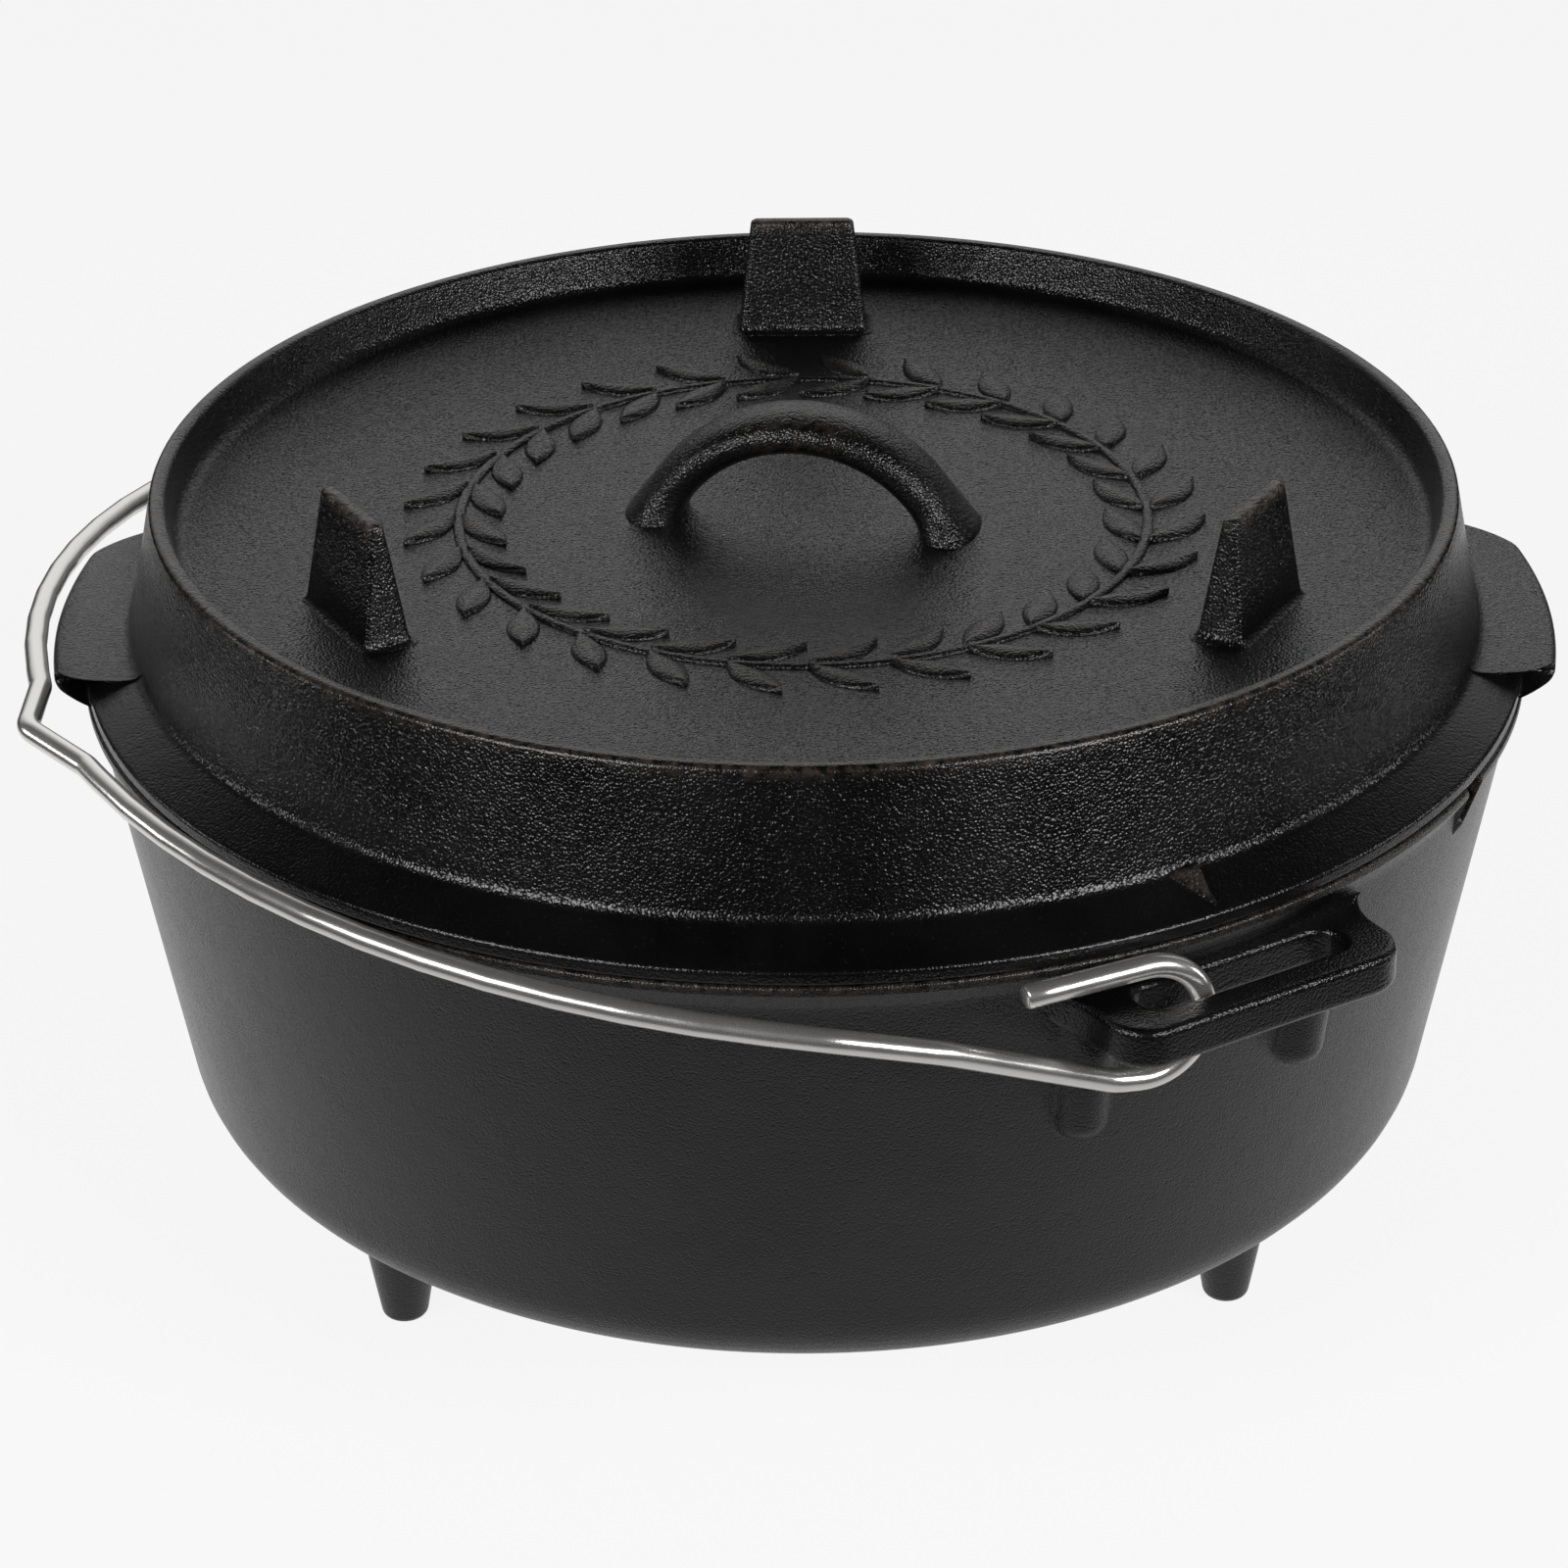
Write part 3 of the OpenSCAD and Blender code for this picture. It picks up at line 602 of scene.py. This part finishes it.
def pot_casting():
    """The pot: a turned section with half-round bosses under the ears and a notch in its rim.

    A boss raises the wall to axis + sqrt(R^2 - y^2), with R tapering downwards, and both
    meet in a soft maximum. In the notch every height is held under the notch's floor.
    """
    across = WALL_T / math.cos(WALL_DRAFT)
    floor_z = FOOT_H + FLOOR_T
    cove_z = RIM_Z - RIM_EDGE_H - RIM_COVE_H
    inner_top = pot_wall_r(RIM_Z) - across
    section = rounded(
        [(0, floor_z), (pot_wall_r(floor_z) - across, floor_z), (inner_top, RIM_Z), (RIM_R, RIM_Z),
         (RIM_R, RIM_Z - RIM_EDGE_H), (pot_wall_r(cove_z), cove_z),
         (pot_wall_r(FOOT_H), FOOT_H), (0, FOOT_H)],
        [0, CORNER_R - WALL_T, 0.8, 0.8, 0.7, 3.0, CORNER_R, 0])
    edge = int(np.argmin(np.hypot(section[:, 0] - pot_wall_r(cove_z), section[:, 1] - cove_z)))
    upper = divided(section[:edge + 1], 9)
    ear_z = EAR_TOP - EAR_T
    boss_end = ear_z - BOSS_H
    near_z = np.linspace(cove_z - 2, boss_end - 3, 54)
    near_boss = np.stack([pot_wall_r(near_z), near_z], axis=1)
    lower = section[edge + 1:]
    lower = lower[lower[:, 1] < boss_end - 4]
    section = np.concatenate([upper, near_boss, divided(np.concatenate([near_boss[-1:], lower]), 8)[1:]])
    zones = [(turn + side * BOSS_TURN, math.radians(4.2), math.radians(0.18))
             for turn in (0, math.pi) for side in (-1, 1)]
    zones.append((NOTCH_TURN, math.radians(1.9), math.radians(0.1)))
    u = refined_turn(math.radians(1.5), zones)[:, None]
    r = np.broadcast_to(section[None, :, 0], (len(u), len(section))).copy()
    z = np.broadcast_to(section[None, :, 1], (len(u), len(section))).copy()
    is_wall = np.arange(len(section))[None] >= edge
    turn = (u + math.pi / 2) % math.pi - math.pi / 2
    y = r * np.sin(np.abs(turn) - BOSS_TURN)
    below = ear_z - z
    radius = BOSS_R + (BOSS_END_R - BOSS_R) * np.clip(below / BOSS_H, 0, 1)
    foot = np.clip((below - BOSS_H) / BOSS_FOOT_R + 1, 0, 1)
    radius = radius - BOSS_FOOT_R * (1 - np.sqrt(1 - foot ** 2))
    boss_axis = pot_wall_r(ear_z) + BOSS_OUT - BOSS_R - below * math.tan(BOSS_LEAN)
    height = np.sqrt(np.clip(radius ** 2 - y ** 2, 0, None))
    boss = np.where(np.abs(y) < radius, boss_axis + height, r - 5)
    inside = is_wall & (z > boss_end) & (z < ear_z + 4)
    gap = boss - r
    soft = 1.2
    raised = r + np.where(gap > soft, gap, np.where(gap > -soft, (gap + soft) ** 2 / (4 * soft), 0))
    r = np.where(inside, np.maximum(r, raised), r)
    notch_y = np.abs((u - NOTCH_TURN + math.pi) % (2 * math.pi) - math.pi) * RIM_R
    cut = 1 - smooth_step(notch_y, NOTCH_W / 2 - 0.3, NOTCH_W / 2 + 0.3)
    low = np.minimum(z, RIM_Z - NOTCH_D)
    outer = np.clip((r - (pot_wall_r(z) - across)) / across, 0, 1)
    low_r = np.where(z > low, pot_wall_r(low) - across + outer * across, r)
    z = z + cut * (low - z)
    r = r + cut * (low_r - r)
    rim_wear = np.exp(-((section[:, 1] - RIM_Z) / 1.5) ** 2) * (section[:, 0] > RIM_R - 3) * 0.35
    piece("pot_casting", round_grid(u, r, z), "pot", "pot_iron", POT_IRON, ("pot",), wear=rim_wear[None])


def ear(name, turn):
    """Ear: a rounded bar that runs round the slot, between the outer outline and the slot's.

    Both outlines have the same count of points on land, root, arm, corner and bar. A ring is a
    rounded oblong as wide as the outlines lie apart and as high as the ear is thick; on the land
    side it runs inside the pot's wall, and the flares thin out and lean back into it.
    """
    middle_z = EAR_TOP - EAR_T / 2
    wall = pot_wall_r(middle_z)
    flare_y = EAR_HALF + EAR_FLARE_R
    flare_x = math.sqrt(wall ** 2 - flare_y ** 2) + EAR_FLARE_R
    quarter = np.linspace(0, math.pi / 2, 14)
    leaving = np.linspace(EAR_FLARE_TURN, 0, 14)
    flare = np.stack([flare_x - EAR_FLARE_R * np.sin(leaving),
                      flare_y - EAR_FLARE_R * np.cos(leaving)], axis=1)
    buried = wall - EAR_BURIED
    land_turn = math.asin((SLOT_HALF - SLOT_CORNER_R) / buried)
    root_turn = math.asin(flare[0, 1] / buried)

    def on_wall(start, end):
        """Arc inside the wall: its radius times (cos a, sin a)."""
        a = np.linspace(start, end, 12)
        return buried * np.stack([np.cos(a), np.sin(a)], axis=1)

    def quarter_turn(x, y, radius, to_x, to_y, flip):
        """Quarter circle: centre plus radius times (sin a, cos a), towards one corner."""
        a = quarter[::-1] if flip else quarter
        return np.stack([x + to_x * radius * np.sin(a), y + to_y * radius * np.cos(a)], axis=1)

    outer_runs = [
        on_wall(0, land_turn),
        np.concatenate([on_wall(land_turn, root_turn), flare[:1]]),
        np.concatenate([flare, [(EAR_X - EAR_CORNER_R, EAR_HALF)]]),
        quarter_turn(EAR_X - EAR_CORNER_R, EAR_HALF - EAR_CORNER_R, EAR_CORNER_R, 1, 1, False),
        np.array([(EAR_X, EAR_HALF - EAR_CORNER_R), (EAR_X, 0)])]
    slot_y = SLOT_HALF - SLOT_CORNER_R
    inner_runs = [
        np.array([(SLOT_IN_X, 0), (SLOT_IN_X, slot_y)]),
        quarter_turn(SLOT_IN_X + SLOT_CORNER_R, slot_y, SLOT_CORNER_R, -1, 1, True),
        np.array([(SLOT_IN_X + SLOT_CORNER_R, SLOT_HALF), (SLOT_X - SLOT_CORNER_R, SLOT_HALF)]),
        quarter_turn(SLOT_X - SLOT_CORNER_R, slot_y, SLOT_CORNER_R, 1, 1, False),
        np.array([(SLOT_X, slot_y), (SLOT_X, 0)])]
    counts = (8, 18, 26, 16, 12)

    def outline(runs):
        """Runs end to end, then the same mirrored to the other side."""
        spaced = [counted(run, count)[:-1] for run, count in zip(runs, counts)]
        half = np.concatenate(spaced + [runs[-1][-1:]])
        return np.concatenate([half, half[-2::-1] * (1, -1)])

    outer = outline(outer_runs)
    inner = outline(inner_runs)
    apart = np.linalg.norm(outer - inner, axis=1)
    half = np.stack([apart / 2, np.full(len(apart), EAR_T / 2)], axis=1)
    ring = slab_ring(half, np.full(len(apart), EAR_EDGE_R), 7, (0.07, 0.3, 0.7, 0.93))
    flat = ((outer + inner) / 2)[:, None] + unit(outer - inner)[:, None] * ring[..., :1]
    z = middle_z + ring[..., 1:]
    thin = np.clip((np.abs(flat[..., 1:]) - EAR_HALF + 1) / (0.5 * EAR_FLARE_R), 0, 1) ** 2
    z = EAR_TOP - (EAR_TOP - z) * (1 - 0.75 * thin)
    out = np.linalg.norm(flat, axis=-1, keepdims=True)
    near = np.clip(1 - (out - wall) / EAR_FLARE_R, 0, 1)
    near = near * smooth_step(np.abs(flat[..., 1:]), SLOT_HALF + 2, EAR_HALF + 2)
    flat = flat * (1 - near * (wall - pot_wall_r(z) + EAR_SUNK) / out)
    grid = np.concatenate([flat, z], axis=-1)
    grid[-1] = grid[0]
    piece(name, turned(grid, turn), "pot", "pot_iron", EAR_IRON)


def foot(name, turn):
    """Foot: a turned taper with a flare at the pot's underside and a rounded tip."""
    section = rounded(
        [(FOOT_ROOT_R + 7, FOOT_H + 2.5), (FOOT_ROOT_R - 0.4, FOOT_H), (FOOT_TIP_R, 0), (0, 0)],
        [0, 5.0, 2.2, 0])
    section = divided(np.concatenate([[(0, FOOT_H + 2.5)], section]), 3)
    u = np.linspace(0, 2 * math.pi, 48, endpoint=False)[:, None]
    grid = round_grid(u, section[None, :, 0], section[None, :, 1])
    grid[..., 0] += FOOT_CIRCLE
    piece(name, turned(grid, math.radians(turn)), "pot", "pot_iron", POT_IRON)


def bail_wire():
    """Bail: a round wire along corners with round bends; one half is the other turned half round.

    Corners are (towards the kink, along the hinge line, out of the bail's plane). Ring point:
    centre line plus wire radius times (side cos a + up sin a).
    """
    near = (59.0, 160.93, 0.0)
    far = (169.98, 20.0, 0.0)
    start = math.atan2(near[0], near[1]) + math.acos(BAIL_R / math.hypot(near[0], near[1]))
    end = math.atan2(far[0], far[1]) - math.acos(BAIL_R / math.hypot(far[0], far[1]))
    reach = BAIL_R / math.cos((end - start) / 2)
    big = (reach * math.sin((start + end) / 2), reach * math.cos((start + end) / 2), 0.0)
    half = np.array([
        (19.5, 163.2, 6.96), (-21, 163.2, 13.96), (-21, 163.2, -13.96), (-3, 163.2, -13.96),
        (36, 165.0, -2.828), near, big, far])
    bends = [0, HOOK_BEND_R, HOOK_BEND_R, 14, 18, 25, BAIL_R, 10]
    corners = np.concatenate([half, [(KINK_REACH, 0, 0)], half[::-1] * (1, -1, -1)])
    path = divided(rounded(corners, bends + [8] + bends[::-1], math.radians(5)), 6)
    tangent = unit(np.gradient(path, axis=0))
    hint = np.broadcast_to((0.0, 0.35, 0.94), path.shape)
    side = unit(np.cross(hint, tangent))
    up = np.cross(tangent, side)
    end_round = 0.5
    ends = np.concatenate([path[:1], path[:1] + tangent[:1] * end_round, path[1:-1],
                           path[-1:] - tangent[-1:] * end_round, path[-1:]])
    index = np.concatenate([[0, 0], np.arange(1, len(path) - 1), [len(path) - 1] * 2])
    radius = np.full(len(ends), WIRE_R)
    radius[[0, -1]] = WIRE_R - end_round
    a = np.linspace(0, 2 * math.pi, 25)
    ring = side[index][:, None] * np.cos(a)[None, :, None] + up[index][:, None] * np.sin(a)[None, :, None]
    grid = ends[:, None] + radius[:, None, None] * ring
    grid[:, -1] = grid[:, 0]
    grid = capped(grid)
    c, s = math.cos(REST_ANGLE), math.sin(REST_ANGLE)
    grid = grid @ np.array([[c, 0, s], [0, 1, 0], [-s, 0, c]])
    grid = turned(grid, -math.pi / 2 - HINGE_TURN) + (0, 0, HINGE_Z)
    piece("bail_wire", grid, "bail", "bail_steel", WIRE_STEEL, BAIL_RUNS)


lid_casting()
for leg_name, leg_turn in zip(("lid_leg_rear", "lid_leg_left", "lid_leg_right"), LEG_TURNS):
    lid_leg(leg_name, leg_turn)
lid_arch()
lid_wreath()
pot_casting()
ear("ear_front", 0.0)
ear("ear_rear", math.pi)
for foot_name, foot_turn in zip(("foot_left", "foot_right", "foot_rear"), FOOT_TURNS):
    foot(foot_name, foot_turn)
bail_wire()


def studio_floor():
    """Round pale floor; the camera sees it near white and the shadow stays on it, and reflections see a
    painted disc of light on it round the pot.
    """
    u = np.linspace(0, 2 * math.pi, 96, endpoint=False)[:, None]
    r = np.array([0, 400, 900, 2000, 9000.0])[None]
    grid = round_grid(u, r, np.zeros_like(r)) * MM
    rows, columns = grid.shape[:2]
    number = np.arange(rows * columns).reshape(rows, columns)
    quads = np.stack([number[:-1, :-1], number[:-1, 1:], number[1:, 1:], number[1:, :-1]], axis=-1)
    mesh = bpy.data.meshes.new("studio_floor")
    mesh.from_pydata(grid.reshape(-1, 3).tolist(), [], quads.reshape(-1, 4).tolist())
    floor = bpy.data.objects.new("studio_floor", mesh)
    bpy.context.scene.collection.objects.link(floor)
    paper = bpy.data.materials.new("white_paper_painted_light")
    paper.use_nodes = True
    n = Nodes(paper.node_tree)
    path = n.add("LightPath")
    place = n.add("TexCoord").outputs["Object"]
    away = n.add("VectorMath", {0: place, 1: (-0.1, 0.062, 0.0)}, operation="DISTANCE").outputs["Value"]
    front = n.add("VectorMath", {0: place, 1: TO_CAMERA}, operation="DOT_PRODUCT").outputs["Value"]
    # Painted disc of light on the floor round the pot, dimmer towards the camera and gone further out; only
    # reflections see it.
    painted_light_pool = n.math("MULTIPLY", n.spread(away, 0.38, 0.56, 1.0, 0.0), n.spread(front, -0.05, 0.2, 0.8, 0.48))
    mirrored = n.math("MAXIMUM", path.outputs["Is Glossy Ray"], path.outputs["Is Transmission Ray"])
    level = n.math("MAXIMUM", path.outputs["Is Camera Ray"], painted_light_pool)
    share = n.math("MAXIMUM", n.math("MULTIPLY", path.outputs["Is Camera Ray"], 0.88), mirrored)
    matte = n.add("BsdfDiffuse", {"Color": (0.8, 0.8, 0.8, 1)})
    glow = n.add("Emission", {"Color": (1, 1, 1, 1), "Strength": level})
    both = n.add("MixShader", {0: share, 1: matte.outputs[0], 2: glow.outputs[0]})
    n.add("OutputMaterial", {"Surface": both.outputs[0]})
    mesh.materials.append(paper)


def studio_world():
    """White screen behind the object, dark surroundings in front of it, beside it and overhead."""
    world = bpy.data.worlds.new("studio")
    world.use_nodes = True
    bpy.context.scene.world = world
    n = Nodes(world.node_tree)
    way = n.add("TexCoord").outputs["Generated"]
    toward = n.add("VectorMath", {0: way, 1: TO_CAMERA}, operation="DOT_PRODUCT").outputs["Value"]
    height = n.add("SeparateXYZ", {0: way}).outputs["Z"]
    flat = n.math("SQRT", n.math("SUBTRACT", 1.0, n.math("MULTIPLY", height, height)), 0.0)
    behind = n.spread(n.math("DIVIDE", toward, flat), -0.95, -0.6, 0.95, 0.06)
    low = n.spread(height, 0.6, 0.8, 1.0, 0.0)
    raised = n.spread(height, 0.02, 0.2, 0.1, 1.0)
    level = n.math("MULTIPLY", n.math("MULTIPLY", behind, low), raised)
    level = n.math("MAXIMUM", level, 0.015)
    seen = n.add("LightPath").outputs["Is Camera Ray"]
    level = n.math("MAXIMUM", level, seen)
    sky = n.add("Background", {"Color": (1, 1, 1, 1), "Strength": level})
    n.add("OutputWorld", {"Surface": sky.outputs[0]})


def lamp(name, azimuth, elevation, distance, size, power):
    """Soft oblong lamp that looks at the pot's rim, placed by direction from the object's axis."""
    aim = Vector(LAMP_AIM)
    a, e = math.radians(azimuth), math.radians(elevation)
    place = aim + distance * Vector((math.cos(a) * math.cos(e), math.sin(a) * math.cos(e), math.sin(e)))
    light = bpy.data.lights.new(name, "AREA")
    light.shape = "RECTANGLE"
    light.size, light.size_y = size
    light.energy = power
    made = bpy.data.objects.new(name, light)
    facing = (aim - place).to_track_quat("-Z", "Y").to_matrix().to_4x4()
    made.matrix_world = Matrix.Translation(place) @ facing
    bpy.context.scene.collection.objects.link(made)


def photo_camera():
    """Camera where the photograph was taken from, with its long lens and slight roll."""
    data = bpy.data.cameras.new("photo_camera")
    data.sensor_fit = "HORIZONTAL"
    data.sensor_width = 36.0
    data.lens = 111.2
    data.shift_x = 0.005
    data.clip_end = 50
    place = Vector((827.8, -515.1, 617.6)) * MM
    aim = Vector((-3.4, -5.6, 105.0)) * MM
    made = bpy.data.objects.new("photo_camera", data)
    level = (aim - place).to_track_quat("-Z", "Y").to_matrix().to_4x4()
    made.matrix_world = Matrix.Translation(place) @ level @ Matrix.Rotation(math.radians(-0.56), 4, "Z")
    bpy.context.scene.collection.objects.link(made)
    bpy.context.scene.camera = made


studio_floor()
studio_world()
lamp("front_right", 14, 23, 1.7, (1.0, 0.42), 16)
lamp("front_left", -74, 25, 1.7, (1.0, 0.42), 14)
lamp("left_side", -128, 6, 1.5, (0.3, 0.3), 1.5)
lamp("right_side", 64, 6, 1.5, (0.3, 0.3), 1.5)
photo_camera()
bpy.context.scene.view_settings.view_transform = "Standard"
